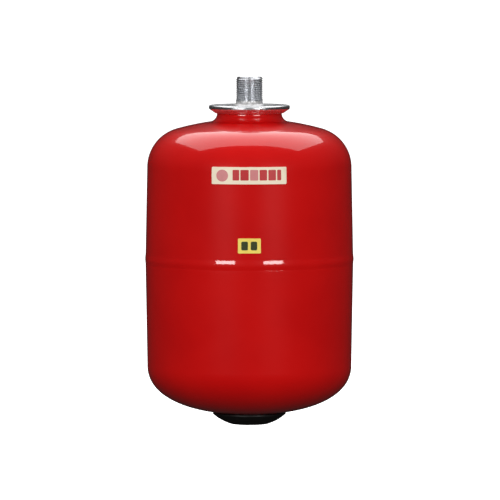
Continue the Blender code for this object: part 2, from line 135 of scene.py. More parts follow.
# ---------------------------------------------------------------------------
# Node helpers
# ---------------------------------------------------------------------------
class Flow:
    """A socket of a node tree; arithmetic on it adds Math nodes."""

    def __init__(self, tree, socket=None):
        self.tree = tree
        self.socket = socket

    def node(self, kind, settings=None, sockets=None, output=0):
        made = self.tree.nodes.new(kind)
        for name, setting in (settings or {}).items():
            setattr(made, name, setting)
        for name, value in (sockets or {}).items():
            feed(made.inputs[name], value)
        return Flow(self.tree, made.outputs[output] if made.outputs else None)

    def maths(self, operation, *numbers):
        return self.node("ShaderNodeMath", {"operation": operation}, dict(enumerate(numbers)))

    def __add__(self, other):
        return self.maths("ADD", self, other)

    __radd__ = __add__

    def __rsub__(self, other):
        return self.maths("SUBTRACT", other, self)

    def __mul__(self, other):
        return self.maths("MULTIPLY", self, other)

    __rmul__ = __mul__

    def between(self, low, high):
        """0 below low, 1 above high, smooth from one to the other."""
        return self.node("ShaderNodeMapRange",
                         {"interpolation_type": "SMOOTHSTEP"},
                         {"Value": self, "From Min": low, "From Max": high})

    def mix(self, first, second):
        """Colour between two colours, with this value as the factor."""
        return self.node("ShaderNodeMix", {"data_type": "RGBA"},
                         {0: self, 6: first, 7: second}, 2)


def feed(socket, value):
    if isinstance(value, Flow):
        socket.id_data.links.new(value.socket, socket)
    elif isinstance(value, tuple) and len(value) == 3 and socket.type == "RGBA":
        socket.default_value = (*value, 1.0)
    else:
        socket.default_value = value


class Finish:
    """One material, with the patterns that its surfaces share."""

    def __init__(self, name, **fixed):
        self.material = bpy.data.materials.new(name)
        self.material.use_nodes = True
        self.tree = self.material.node_tree
        self.shader = self.tree.nodes["Principled BSDF"]
        self.start = Flow(self.tree)
        self.place = self.start.node("ShaderNodeTexCoord", output=3)
        self.set(**fixed)

    def grain(self, scale, detail=2.0, rough=0.5, place=None):
        """Noise from 0 to 1; scale in waves to the metre."""
        return self.start.node("ShaderNodeTexNoise", None, {
            "Vector": place or self.place, "Scale": scale,
            "Detail": detail, "Roughness": rough})

    def cells(self, scale, output=0):
        """Distance from the nearest cell's middle, or that cell's colour."""
        return self.start.node("ShaderNodeTexVoronoi", None, {
            "Vector": self.place, "Scale": scale}, output)

    def stretched(self, x, y, z):
        """Place for a pattern that has its own scale along each axis."""
        return self.start.node("ShaderNodeVectorMath", {"operation": "MULTIPLY"},
                               {0: self.place, 1: (x, y, z)})

    def set(self, **values):
        """Feed the shader's sockets; base_color is the one named Base Color."""
        for name, value in values.items():
            title = name.replace("_", " ").title().replace("Ior", "IOR")
            feed(self.shader.inputs[title], value)
        return self

    def relief(self, *layers):
        """Stack (height, depth in microns) layers on the shader's normal."""
        normal = None
        for height, depth in layers:
            sockets = {"Height": height, "Distance": depth * MICRON, "Strength": 1.0}
            if normal:
                sockets["Normal"] = normal
            normal = self.start.node("ShaderNodeBump", None, sockets)
        feed(self.shader.inputs["Normal"], normal)
        return self


# ---------------------------------------------------------------------------
# Finishes
# ---------------------------------------------------------------------------
def red_powder_coat():
    """Glossy coat with broad shading, fine pits, long waves and orange peel."""
    deep_red = (0.60, 0.0030, 0.0030)
    bright_red = (0.66, 0.0042, 0.0036)
    pit_red = (0.30, 0.004, 0.004)
    coat = Finish("red_powder_coat", coat_weight=1.0, coat_roughness=0.05,
                  specular_ior_level=0.1)
    broad = coat.grain(14.0, 3.0)
    pits = coat.cells(700.0).between(0.10, 0.02) * coat.grain(60.0).between(0.55, 0.7)
    shade = broad.between(0.3, 0.7).mix(deep_red, bright_red)
    coat.set(base_color=(pits * 0.5).mix(shade, pit_red),
             roughness=0.28 + 0.12 * coat.grain(40.0, 4.0))
    waves = (coat.grain(9.0, 1.0), 100.0)
    peel = (coat.grain(330.0, 2.0), 7.5)
    fine = (coat.grain(1500.0, 1.0), 1.2)
    coat.relief(waves, peel, fine)
    return coat.material


def zinc_plating(name, tint, streak, rough, metal=1.0, depth=12.0, brushed=0.0):
    """Plated steel: clouded, spangled, and streaked where it was worked."""
    blue_grey = (0.60, 0.63, 0.68)
    rubbed_grey = (0.52, 0.51, 0.50)
    plate = Finish(name, metallic=metal, anisotropic=brushed, anisotropic_rotation=0.25)
    bloom = plate.grain(55.0, 4.0, 0.6)
    spangle = plate.cells(520.0, output=1)
    grey = spangle.node("ShaderNodeRGBToBW", None, {0: spangle})
    lines = plate.grain(1.0, 2.0, 0.6, plate.stretched(*streak))
    dull = bloom.between(0.35, 0.75)
    colour = dull.mix(tint, tuple(c * 0.86 for c in tint))
    colour = (grey * 0.10).mix(colour, blue_grey)
    colour = (lines.between(0.62, 0.8) * 0.35).mix(colour, rubbed_grey)
    plate.set(base_color=colour, roughness=rough + 0.10 * dull + 0.07 * lines)
    plate.relief((lines, depth), (plate.grain(1300.0, 2.0), depth / 4))
    return plate.material


def rubber(name, colour, bloom, scale):
    """Matt rubber with a patchy bloom of powder."""
    made = Finish(name)
    powder = made.grain(scale, 4.0, 0.6).between(0.45, 0.75)
    made.set(base_color=(powder * 0.6).mix(colour, bloom),
             roughness=0.52 + 0.25 * powder)
    made.relief((made.grain(scale * 14, 2.0), 20.0),
                (made.grain(scale * 60, 2.0), 6.0))
    return made.material


def turned_brass():
    """Brass with fine turning rings and brown stains."""
    clean = (0.78, 0.57, 0.27)
    stained = (0.42, 0.27, 0.12)
    made = Finish("turned_brass", metallic=1.0)
    rings = made.grain(1.0, 2.0, 0.5, made.stretched(120.0, 120.0, 9000.0))
    stain = made.grain(420.0, 3.0).between(0.5, 0.75)
    made.set(base_color=(stain * 0.5).mix(clean, stained),
             roughness=0.22 + 0.12 * rings + 0.15 * stain)
    made.relief((rings, 8.0))
    return made.material


def drawn_wire():
    made = Finish("drawn_spring_wire", metallic=1.0)
    lines = made.grain(3000.0, 2.0)
    made.set(base_color=lines.mix((0.52, 0.52, 0.54), (0.70, 0.70, 0.72)),
             roughness=0.22 + 0.16 * lines)
    made.relief((lines, 4.0))
    return made.material


def black_moulding(name, scale):
    """Satin black plastic with a pebbled skin, scuffs and a little dust."""
    black = (0.0085, 0.0075, 0.0070)
    dusty = (0.040, 0.036, 0.033)
    made = Finish(name, specular_ior_level=0.45)
    pebble = made.cells(scale)
    cloud = made.grain(45.0, 4.0)
    scuff = made.grain(1.0, 3.0, 0.6, made.stretched(90.0, 90.0, 700.0)).between(0.62, 0.78)
    dust = made.grain(240.0, 3.0).between(0.55, 0.8)
    made.set(base_color=(0.35 * dust + 0.35 * scuff).mix(black, dusty),
             roughness=0.40 + 0.14 * cloud + 0.14 * scuff)
    made.relief((pebble, 20.0), (made.grain(scale * 2.3, 2.0), 6.0))
    return made.material


def printed_film(name, colour, aged, gloss):
    """Label film or ink with a fibrous skin and faint stains."""
    made = Finish(name, coat_weight=0.25, coat_roughness=0.25)
    fibre = made.grain(900.0, 3.0, 0.7)
    stain = made.grain(90.0, 3.0).between(0.5, 0.85)
    made.set(base_color=(0.10 * fibre + 0.55 * stain).mix(colour, aged),
             roughness=gloss + 0.12 * fibre)
    made.relief((made.grain(160.0, 2.0), 20.0), (fibre, 4.0))
    return made.material


def weld_metal():
    made = Finish("plated_weld_metal", metallic=0.65)
    heat = made.grain(160.0, 3.0).between(0.4, 0.7)
    made.set(base_color=heat.mix((0.88, 0.88, 0.90), (0.66, 0.64, 0.62)),
             roughness=0.34 + 0.16 * heat)
    made.relief((made.grain(900.0, 3.0), 20.0))
    return made.material


RED = red_powder_coat()
PLATE = zinc_plating("zinc_plated_sheet", tint=(0.90, 0.91, 0.93),
                     streak=(60.0, 60.0, 60.0), rough=0.22, metal=0.96)
TURNED_PLATE = zinc_plating("zinc_plated_thread", tint=(0.92, 0.94, 0.98),
                            streak=(90.0, 90.0, 2600.0), rough=0.33, metal=0.97,
                            depth=0.8, brushed=0.9)
HARDWARE = zinc_plating("zinc_plated_hardware", tint=(0.76, 0.78, 0.80),
                        streak=(300.0, 300.0, 300.0), rough=0.24)
WELD = weld_metal()
BAG = rubber("moulded_bag_rubber", (0.020, 0.020, 0.021), (0.070, 0.068, 0.064), 60.0)
SEAL = rubber("seal_rubber", (0.014, 0.014, 0.014), (0.050, 0.048, 0.046), 260.0)
BRASS = turned_brass()
WIRE = drawn_wire()
CAP_PLASTIC = black_moulding("satin_cap_plastic", 1100.0)
DUST_CAP_PLASTIC = black_moulding("dust_cap_plastic", 1900.0)
CREAM_FILM = printed_film("cream_label_film", (1.0, 0.87, 0.66), (0.90, 0.72, 0.50), 0.42)
YELLOW_FILM = printed_film("yellow_label_film", (1.0, 0.80, 0.14), (0.90, 0.58, 0.08), 0.40)
RED_INK = printed_film("red_ink", (0.60, 0.018, 0.022), (0.36, 0.02, 0.02), 0.40)
ROSE_INK = printed_film("rose_ink", (0.72, 0.25, 0.25), (0.50, 0.16, 0.16), 0.40)
DARK_INK = printed_film("dark_ink", (0.030, 0.050, 0.004), (0.08, 0.09, 0.01), 0.42)


# ---------------------------------------------------------------------------
# Outlines in the (radius, height) plane
# ---------------------------------------------------------------------------
def arc(centre_r, centre_z, radius, start, end, count):
    points = []
    for i in range(count + 1):
        angle = math.radians(start + (end - start) * i / count)
        points.append((centre_r + radius * math.cos(angle), centre_z + radius * math.sin(angle)))
    return points


def rounded(corners, count=6):
    """Path through corners (r, z, fillet); the first and last stay sharp."""
    points = [corners[0][:2]]
    for before, corner, after in zip(corners, corners[1:], corners[2:]):
        r, z, fillet = corner
        if fillet == 0:
            points.append((r, z))
            continue
        back = Vector((before[0] - r, before[1] - z)).normalized()
        on = Vector((after[0] - r, after[1] - z)).normalized()
        half = math.acos(max(-1.0, min(1.0, back.dot(on)))) / 2
        reach = fillet / math.tan(half)
        centre = Vector((r, z)) + (back + on).normalized() * (fillet / math.sin(half))
        start = Vector((r, z)) + back * reach - centre
        stop = Vector((r, z)) + on * reach - centre
        first = math.atan2(start.y, start.x)
        turn = (math.atan2(stop.y, stop.x) - first + math.pi) % (2 * math.pi) - math.pi
        for i in range(count + 1):
            angle = first + turn * i / count
            points.append((centre.x + fillet * math.cos(angle),
                           centre.y + fillet * math.sin(angle)))
    points.append(corners[-1][:2])
    return points


def ring_outline(corners, count=4):
    """Closed outline through corners (r, z, fillet), every corner rounded."""
    path = rounded([corners[-1], *corners, corners[0]], count)
    return path[1:-1]


def parallel(path, distance):
    """Path moved to its right-hand side, with mitred corners."""
    normals = []
    for start, end in zip(path, path[1:]):
        step = Vector(end) - Vector(start)
        normals.append(Vector((step.y, -step.x)).normalized())
    moved = []
    for i, (r, z) in enumerate(path):
        before = normals[max(i - 1, 0)]
        after = normals[min(i, len(normals) - 1)]
        shift = (before + after) * (distance / (1 + before.dot(after)))
        moved.append((r + shift.x, z + shift.y))
    return moved


def sheet(path, thickness):
    """Closed outline of a sheet whose outer face follows the path."""
    return path + parallel(path, thickness)[::-1]


def spread(path, longest):
    """Path with extra points, so that no step is longer than longest."""
    points = [path[0]]
    for start, end in zip(path, path[1:]):
        length = math.dist(start, end)
        parts = max(1, math.ceil(length / longest))
        for i in range(1, parts + 1):
            t = i / parts
            points.append((start[0] + (end[0] - start[0]) * t,
                           start[1] + (end[1] - start[1]) * t))
    return points


# ---------------------------------------------------------------------------
# Mesh helpers
# ---------------------------------------------------------------------------
ON_AXIS = 1e-7                 # a radius below this is the axis itself


def clamp(*values):
    """The smallest of the values, held between 0 and 1."""
    return max(0.0, min(1.0, *values))


def round_noise(angle, waves, level):
    """Noise from about -1 to 1 that closes on itself round the axis."""
    return noise.noise(Vector((waves * math.cos(angle), waves * math.sin(angle), level)))


def piece(name, vertices, faces, finish, body, replaced, crease):
    """A mesh object that rides on a body; edges over crease degrees stay sharp."""
    data = bpy.data.meshes.new(name)
    data.from_pydata(vertices, [], faces)
    data.validate()
    data.shade_smooth()
    data.set_sharp_from_angle(angle=math.radians(crease))
    data.materials.append(finish)
    made = bpy.data.objects.new(name, data)
    bpy.context.scene.collection.objects.link(made)
    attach(made, body)
    if replaced:
        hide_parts(*replaced)


def lathe(name, outline, steps, finish, body, replaced, crease, closed=True,
          shape=None):
    """Turn an outline about the axis; shape(angle, r, z) may return a new (r, z)."""
    area = sum(a[0] * b[1] - b[0] * a[1] for a, b in zip(outline, outline[1:] + outline[:1]))
    if area < 0:
        outline = outline[::-1]
    vertices = []
    rows = []
    for r, z in outline:
        if r < ON_AXIS:
            rows.append([len(vertices)])
            vertices.append((0.0, 0.0, z))
            continue
        row = []
        for i in range(steps):
            angle = 2 * math.pi * i / steps
            new_r, new_z = shape(angle, r, z) if shape else (r, z)
            row.append(len(vertices))
            vertices.append((new_r * math.cos(angle), new_r * math.sin(angle), new_z))
        rows.append(row)
    pairs = list(zip(rows, rows[1:]))
    if closed:
        pairs.append((rows[-1], rows[0]))
    faces = []
    for low, high in pairs:
        for i in range(steps):
            j = (i + 1) % steps
            if len(low) == 1 and len(high) == 1:
                continue
            if len(low) == 1:
                faces.append((low[0], high[j], high[i]))
            elif len(high) == 1:
                faces.append((low[i], low[j], high[0]))
            else:
                faces.append((low[i], low[j], high[j], high[i]))
    piece(name, vertices, faces, finish, body, replaced, crease)


# ---------------------------------------------------------------------------
# Shells and girth weld
# ---------------------------------------------------------------------------
LIP_SHORT = 2.2 * MM           # how far the lip ends inside the rolled edge
LIP_END_R = FLANGE_R - FLANGE_T - LIP_SHORT
CRIMP_END_R = NECK_R + 1.8 * MM
CRIMP_SAG = 0.4 * MM
BEAD_TOP_Z = FLANGE_Z - FLANGE_T - GAP
STEEP = 1 / math.cos(LIP_SLOPE)
COVER_SEAT_GAP = 1.2 * GAP
LAP_GAP = 1.2 * GAP
SHELL_STEP = 6 * MM            # longest step along a shell's outline
SHELL_STEPS = 256
UNROUND = 0.06 * MM


def slope_z(r, z_at_lip_end):
    return z_at_lip_end + (r - LIP_END_R) * math.tan(LIP_SLOPE)


def bead_underside(r):
    return slope_z(r, BEAD_TOP_Z - BEAD_T)


def lip_underside(r):
    return slope_z(r, BEAD_TOP_Z - BEAD_T - (GAP + SHELL_T) * STEEP)


def crimp_underside(r):
    layers = 2 * GAP + SHELL_T + FLANGE_T
    return slope_z(r, BEAD_TOP_Z - BEAD_T - CRIMP_SAG - layers * STEEP)


def upper_wall_r(z):
    return BODY_R + SEAM_SWELL * (UPPER_KNUCKLE_Z - z) / (UPPER_KNUCKLE_Z - UPPER_EDGE_Z)


def bottom_z(r):
    return LOWER_KNUCKLE_Z - BOTTOM_DEPTH * (
        1 - (r / BODY_R) ** BOTTOM_SQUARENESS) ** (1 / BOTTOM_SQUARENESS)


COVER_RIM_Z = bottom_z(COVER_R - COVER_T) - COVER_SEAT_GAP


def upper_shell_outline():
    flare = rounded([
        (LIP_END_R, lip_underside(LIP_END_R), 0),
        (NECK_R, lip_underside(NECK_R), 2.2 * MM),
        (NECK_R, NECK_Z, 0)], 10)
    meeting = math.degrees(math.asin((NECK_R + NECK_FILLET) / (TOP_CROWN_R + NECK_FILLET)))
    neck = arc(NECK_R + NECK_FILLET, NECK_Z, NECK_FILLET, 180, 270 - meeting, 14)
    knuckle = math.degrees(math.asin(TOP_KNUCKLE_CENTRE_R / (TOP_CROWN_R - TOP_KNUCKLE_R)))
    crown = arc(0, CROWN_CENTRE_Z, TOP_CROWN_R, 90 - meeting, 90 - knuckle, 14)
    shoulder = arc(TOP_KNUCKLE_CENTRE_R, UPPER_KNUCKLE_Z, TOP_KNUCKLE_R, 90 - knuckle, 0, 30)
    path = flare + neck[1:] + crown[1:] + shoulder[1:] + [(SEAM_R, UPPER_EDGE_Z)]
    return sheet(spread(path, SHELL_STEP), SHELL_T)


def lower_shell_outline():
    lap_top_z = UPPER_EDGE_Z + LAP_LEN
    lap_r = upper_wall_r(lap_top_z) - SHELL_T - LAP_GAP
    rim = rounded([
        (lap_r, lap_top_z, 0),
        (lap_r, LOWER_EDGE_Z + 1.6 * MM, 0.4 * MM),
        (SEAM_R, LOWER_EDGE_Z - 0.4 * MM, 0.8 * MM),
        (SEAM_R, LOWER_EDGE_Z - 2.4 * MM, 0)], 4)
    end = []
    count = 72
    for i in range(count + 1):
        angle = math.radians(90 * i / count)
        r = BODY_R * math.cos(angle) ** (2 / BOTTOM_SQUARENESS)
        if r < RECESS_MOUTH_R + 5 * MM:
            break
        end.append((r, bottom_z(r)))
    recess = rounded([
        (RECESS_MOUTH_R + 4 * MM, bottom_z(RECESS_MOUTH_R + 4 * MM), 0),
        (RECESS_MOUTH_R, bottom_z(RECESS_MOUTH_R), 2.0 * MM),
        (RECESS_FLOOR_R, FLOOR_Z, 3.0 * MM),
        (VALVE_SHANK_R + GAP, FLOOR_Z, 0)], 8)
    return sheet(spread(rim + end, SHELL_STEP) + recess, SHELL_T)


def drawn_sheet(angle, r, z):
    """Slight unroundness that deep drawing leaves in a shell's wall."""
    wave = round_noise(angle, 2.2, z * 14)
    return r + UNROUND * wave * clamp((r - 45 * MM) / (30 * MM)), z


lathe("upper_shell_drawn", upper_shell_outline(), SHELL_STEPS, RED, "vessel",
      ["upper_shell"], shape=drawn_sheet, crease=50)
lathe("lower_shell_drawn", lower_shell_outline(), SHELL_STEPS, RED, "vessel",
      ["lower_shell"], shape=drawn_sheet, crease=50)

WELD_CROWN = 0.45 * MM
WELD_HALF_W = 6.2 * MM         # under its paint the bead blends into both shells
WELD_BED = 0.05 * MM
WELD_CREST_Z = SEAM_Z + 1.0 * MM
WELD_RIPPLE = 0.010 * MM
WELD_RIPPLES = 210
WELD_ROOT_HALF_W = 1.4 * MM


def girth_weld_outline():
    crown = []
    count = 40
    for i in range(count + 1):
        t = -1 + 2 * i / count
        bell = 0.5 + 0.5 * math.cos(math.pi * t)
        crown.append((SEAM_R - WELD_BED + (WELD_CROWN + WELD_BED) * bell,
                      WELD_CREST_Z - WELD_HALF_W * t))
    root = SEAM_R - SHELL_T
    return crown + [(root, SEAM_Z - WELD_ROOT_HALF_W), (root, SEAM_Z + WELD_ROOT_HALF_W)]


def weld_ripples(angle, r, z):
    """Curved ripples across the bead, which wanders a little round the seam."""
    across = (z - SEAM_Z) / SEAM_HALF_GAP
    proud = clamp((r - SEAM_R) / WELD_CROWN)
    wander = round_noise(angle, 9, 3.0)
    ripple = math.sin(WELD_RIPPLES * angle + 2.4 * across * across + 2.0 * wander)
    return r + proud * (WELD_RIPPLE * ripple + 0.02 * MM * wander), z + 0.10 * MM * wander


lathe("girth_weld_bead", girth_weld_outline(), 6 * WELD_RIPPLES, RED, "vessel",
      ["girth_weld"], shape=weld_ripples, crease=60)


# ---------------------------------------------------------------------------
# Counterflange and water connection
# ---------------------------------------------------------------------------
CRIMP_BITES = 30               # jaws of the crimping tool
STEP_R = 27.0 * MM             # ring pressed into the plate's top
STEP_W = 1.6 * MM
STEP_DEPTH = 0.10 * MM
THREAD_CHAMFER = 1.5 * MM
THREAD_STEP = 0.125 * MM       # longest step down the thread
FILLET_RIPPLES = 78


def counterflange_outline():
    path = rounded([
        (SPIGOT_R + GAP, FLANGE_Z, 0),
        (FLANGE_R, FLANGE_Z, 1.6 * MM),
        (FLANGE_R, crimp_underside(FLANGE_R), 1.8 * MM),
        (CRIMP_END_R, crimp_underside(CRIMP_END_R), 0)], 10)
    return sheet(spread(path, 2.5 * MM), FLANGE_T)


def crimped_edge(angle, r, z):
    """Shallow bites under the rolled edge, and a pressed step on the plate."""
    bite = 0.5 + 0.5 * math.cos(CRIMP_BITES * angle)
    under = clamp((FLANGE_Z - 2.4 * MM - z) / (2.0 * MM))
    wave = round_noise(angle, 3, 7.0)
    step = math.exp(-((r - STEP_R) / STEP_W) ** 2) if z > FLANGE_Z - 2 * MM else 0.0
    return r - 0.16 * MM * under * bite ** 3, z - STEP_DEPTH * step + 0.04 * MM * wave * under


lathe("counterflange_pressed", counterflange_outline(), 12 * CRIMP_BITES, PLATE, "vessel",
      ["counterflange"], shape=crimped_edge, crease=45)


def thread_wave(turns):
    """Rounded Whitworth form over one pitch, from -1 at the root to 1 at the crest."""
    phase = turns - math.floor(turns)
    slope = 1.5 * (1 - 4 * abs(phase - 0.5))
    size = abs(slope)
    if size > 0.6:
        rest = (size - 0.6) / 0.9
        size = 0.6 + 0.4 * (1 - (1 - rest) ** 2)
    return math.copysign(size, slope)


def helical_thread(crest_r, root_r, pitch, low_z, high_z, right_hand_down=False):
    """Shape that cuts a right-hand thread into a cylinder, with runouts at its ends."""
    middle = (crest_r + root_r) / 2
    depth = (crest_r - root_r) / 2

    def shape(angle, r, z):
        if r < root_r - 0.2 * MM:
            return r, z
        hand = -1 if right_hand_down else 1
        turns = z / pitch - hand * angle / (2 * math.pi)
        cut = middle + depth * thread_wave(turns)
        fade = clamp((z - low_z) / pitch, (high_z - z) / (0.35 * pitch))
        return min(r, crest_r + (cut - crest_r) * fade), z
    return shape


def nipple_outline():
    foot_z = FLANGE_Z + 3.2 * MM
    end_z = FLANGE_Z - 3.0 * MM
    outside = [(THREAD_R - THREAD_CHAMFER, NIPPLE_TOP_Z),
               (THREAD_R - 1.25 * MM, NIPPLE_TOP_Z - 0.15 * MM),
               (THREAD_R, NIPPLE_TOP_Z - THREAD_CHAMFER)]
    wall = spread([outside[-1], (THREAD_R, foot_z + 1.4 * MM)], THREAD_STEP)[1:]
    foot = [(SPIGOT_R, foot_z), (SPIGOT_R, end_z)]
    bore = [(NIPPLE_BORE_R + 0.4 * MM, end_z), (NIPPLE_BORE_R, end_z + 0.4 * MM)]
    bore += spread([bore[-1], (NIPPLE_BORE_R, NIPPLE_TOP_Z - 0.9 * MM)], 3 * MM)[1:]
    return outside + wall + foot + bore + [(NIPPLE_BORE_R + 0.9 * MM, NIPPLE_TOP_Z)]


lathe("threaded_nipple", nipple_outline(), 160, TURNED_PLATE, "vessel",
      ["connection_nipple"], crease=50,
      shape=helical_thread(THREAD_R, THREAD_ROOT_R, THREAD_PITCH,
                           FLANGE_Z + 4.4 * MM, NIPPLE_TOP_Z - 0.2 * MM))


def nipple_weld_outline():
    hair = 0.02 * MM
    top_w = 0.35 * MM
    hollow = 0.34 * MM
    inner_r = SPIGOT_R + hair
    low = FLANGE_Z + hair
    count = 12
    face = []
    for i in range(count + 1):
        t = i / count
        sink = math.sin(math.pi * t) * hollow
        face.append((inner_r + top_w + (NIPPLE_WELD - top_w) * t - sink,
                     low + NIPPLE_WELD_H * (1 - t) - sink))
    return [(inner_r, low), (inner_r, low + NIPPLE_WELD_H)] + face


def fillet_ripples(angle, r, z):
    """Ripples that are proudest halfway up the fillet's face."""
    reach = (r - SPIGOT_R) / NIPPLE_WELD
    proud = max(0.0, 4 * reach * (1 - reach))
    wander = round_noise(angle, 2, 11.0)
    ripple = math.sin(FILLET_RIPPLES * angle + 2 * wander)
    grow = proud * (0.07 * MM * ripple + 0.12 * MM * wander)
    return r + grow, z + grow


lathe("nipple_fillet_weld", nipple_weld_outline(), 6 * FILLET_RIPPLES, WELD, "vessel",
      ["nipple_weld"], shape=fillet_ripples, crease=60)


# ---------------------------------------------------------------------------
# Rubber bag
# ---------------------------------------------------------------------------
BAG_STEP = 7 * MM              # longest step along the bag's outline
BAG_SHOULDER_Z = UPPER_KNUCKLE_Z + 6 * MM


def bag_outline():
    throat_r = NECK_R - SHELL_T - 2 * GAP
    wall = rounded([
        (throat_r, BEAD_TOP_Z, 0),
        (throat_r, NECK_Z - 8 * MM, 10 * MM),
        (BAG_R, BAG_SHOULDER_Z, 26 * MM),
        (BAG_R, BAG_FLOOR_Z, 50 * MM),
        (0, BAG_FLOOR_Z, 0)], 14)
    bead_r = LIP_END_R - 0.5 * MM
    outer = [(bead_r, BEAD_TOP_Z), (bead_r, bead_underside(bead_r)),
             (throat_r, bead_underside(throat_r))] + spread(wall[1:], BAG_STEP)
    inner = parallel(spread(wall, BAG_STEP), BAG_T)[::-1]
    inner[0] = (0, inner[0][1])
    return inner + outer


def slack_bag(angle, r, z):
    """Shallow folds where the bag hangs slack below its throat."""
    slack = clamp((BAG_SHOULDER_Z - z) / (60 * MM))
    slack *= clamp((z - BAG_FLOOR_Z - 10 * MM) / (50 * MM))
    wander = round_noise(angle, 2, z * 9)
    fold = 0.5 + 0.5 * math.cos(BAG_FOLDS * angle + 1.5 * wander)
    return r - slack * (3.2 * MM * fold + 1.4 * MM * abs(wander)), z


lathe("rubber_bag", bag_outline(), 144, BAG, "vessel",
      ["bladder"], closed=False, shape=slack_bag, crease=50)


# ---------------------------------------------------------------------------
# Air valve
# ---------------------------------------------------------------------------
def valve_stem_outline():
    head_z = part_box("valve_gasket")[1][2] + GAP
    head_top = VALVE_STEM[1][2]
    outside = rounded([
        (2.0 * MM, head_top, 0),
        (VALVE_HEAD_R, head_top, 0.6 * MM),
        (VALVE_HEAD_R, head_z, 0.3 * MM),
        (VALVE_SHANK_R, head_z, 0),
        (VALVE_SHANK_R, NUT_Z - 0.4 * MM, 0),
        (STEM_R, NUT_Z - 1.8 * MM, 0.3 * MM),
        (STEM_R, TIP_Z + 0.5 * MM, 0)], 4)
    thread_top = NUT_Z - 2.2 * MM
    outside = spread(outside, 0.9 * MM)[:-1]
    thread = spread([(STEM_R, thread_top), (STEM_R, TIP_Z + 0.5 * MM)], STEM_THREAD_STEP)
    outside = [p for p in outside if p[1] > thread_top + 0.05 * MM] + thread
    bore = [(STEM_R - 0.45 * MM, TIP_Z), (STEM_BORE_R + 0.15 * MM, TIP_Z),
            (STEM_BORE_R, TIP_Z + 0.2 * MM), (STEM_BORE_R, TIP_Z + 12.5 * MM),
            (2.0 * MM, TIP_Z + 13.3 * MM)]
    return outside + bore


lathe("valve_stem_turned", valve_stem_outline(), 96, BRASS, "vessel",
      ["valve_stem"], crease=45,
      shape=helical_thread(STEM_R, STEM_ROOT_R, STEM_PITCH, TIP_Z, NUT_Z - 2.0 * MM, True))


def soft_ring(name, node, inner_r, finish, fillet, body="vessel", steps=96):
    """Ring with softened corners in the place of a CAD node."""
    low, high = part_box(node)
    outer_r = high[0]
    outline = ring_outline([
        (inner_r, low[2], fillet), (outer_r, low[2], fillet),
        (outer_r, high[2], fillet), (inner_r, high[2], fillet)])
    lathe(name, outline, steps, finish, body, [node], crease=50)


PIN_R = 0.55 * MM
CHAMBER_R = 1.35 * MM
BARREL_R = STEM_BORE_R - GAP
soft_ring("valve_gasket_ring", "valve_gasket", VALVE_SHANK_R + GAP, SEAL, 0.4 * MM)
soft_ring("valve_washer_pressed", "valve_washer", VALVE_SHANK_R + GAP, HARDWARE,
          0.25 * MM)
soft_ring("core_gasket_ring", "core_gasket", CHAMBER_R + 0.9 * MM, SEAL,
          0.12 * MM, steps=48)
soft_ring("poppet_seal_ring", "poppet_seal", PIN_R + GAP, SEAL,
          0.15 * MM, "valve_pin", 48)
soft_ring("dust_cap_seal_disc", "dust_cap_seal", 1.5 * MM, SEAL,
          0.25 * MM, "dust_cap_thread", 72)


def nut_flats(angle, r, z):
    """Hexagon with its corners chamfered at 30 degrees on both faces."""
    if r < NUT_ACROSS_FLATS * 0.45:
        return r, z
    flat = math.radians(60)
    hexagon = NUT_ACROSS_FLATS / 2 / math.cos((angle % flat) - flat / 2)
    depth = min(z - NUT_Z, NUT_Z + NUT_H - z)
    chamfer = NUT_ACROSS_FLATS * 0.485 + depth * math.tan(math.radians(60))
    return min(hexagon - 0.05 * MM, chamfer), z


def nut_outline():
    side = spread([(NUT_CORNER_R, NUT_Z + NUT_H), (NUT_CORNER_R, NUT_Z)], 0.16 * MM)
    bore_r = VALVE_SHANK_R + 0.1 * MM
    return side + [(bore_r + 0.5 * MM, NUT_Z), (bore_r, NUT_Z + 0.5 * MM),
                   (bore_r, NUT_Z + NUT_H - 0.5 * MM), (bore_r + 0.5 * MM, NUT_Z + NUT_H)]


lathe("valve_nut_chamfered", nut_outline(), 180, HARDWARE, "vessel",
      ["valve_nut"], shape=nut_flats, crease=20)


def core_barrel_outline():
    hole_r = PIN_R + GAP
    neck_r = CHAMBER_R + 0.6 * MM
    low = TIP_Z + 0.8 * MM
    shoulder = TIP_Z + 3.8 * MM
    chamber_top = TIP_Z + 6.6 * MM
    high = TIP_Z + 7.8 * MM
    return ring_outline([
        (hole_r, high, 0.1 * MM), (neck_r, high, 0.15 * MM),
        (neck_r, shoulder, 0.1 * MM), (BARREL_R, shoulder, 0.15 * MM),
        (BARREL_R, low, 0.2 * MM), (CHAMBER_R, low, 0.15 * MM),
        (CHAMBER_R, chamber_top, 0.1 * MM), (hole_r, chamber_top, 0.1 * MM)])


def core_pin_outline():
    head_r = 1.9 * MM
    head_top = TIP_Z + 10.6 * MM
    head_low = TIP_Z + 9.9 * MM
    collar_r = CHAMBER_R - GAP
    collar_top = TIP_Z + 1.8 * MM
    collar_low = TIP_Z + 1.2 * MM
    tip = TIP_Z + 0.2 * MM
    return rounded([
        (0, head_top, 0), (head_r, head_top, 0.2 * MM), (head_r, head_low, 0.1 * MM),
        (PIN_R, head_low, 0.1 * MM), (PIN_R, collar_top, 0.05 * MM),
        (collar_r, collar_top, 0.1 * MM), (collar_r, collar_low, 0.1 * MM),
        (PIN_R, collar_low, 0.05 * MM), (PIN_R, tip, 0.2 * MM), (0, tip, 0)], 4)


lathe("valve_core_barrel", core_barrel_outline(), 48, BRASS, "vessel",
      ["core_barrel"], crease=40)
lathe("valve_core_pin", core_pin_outline(), 40, BRASS, "valve_pin",
      ["core_pin"], closed=False, crease=40)
bpy.data.objects["core_spring"].material_slots[0].material = WIRE


CAP_RIBS = 30
CAP_EDGE = 0.8 * MM            # rounding of the dust cap's lower edge


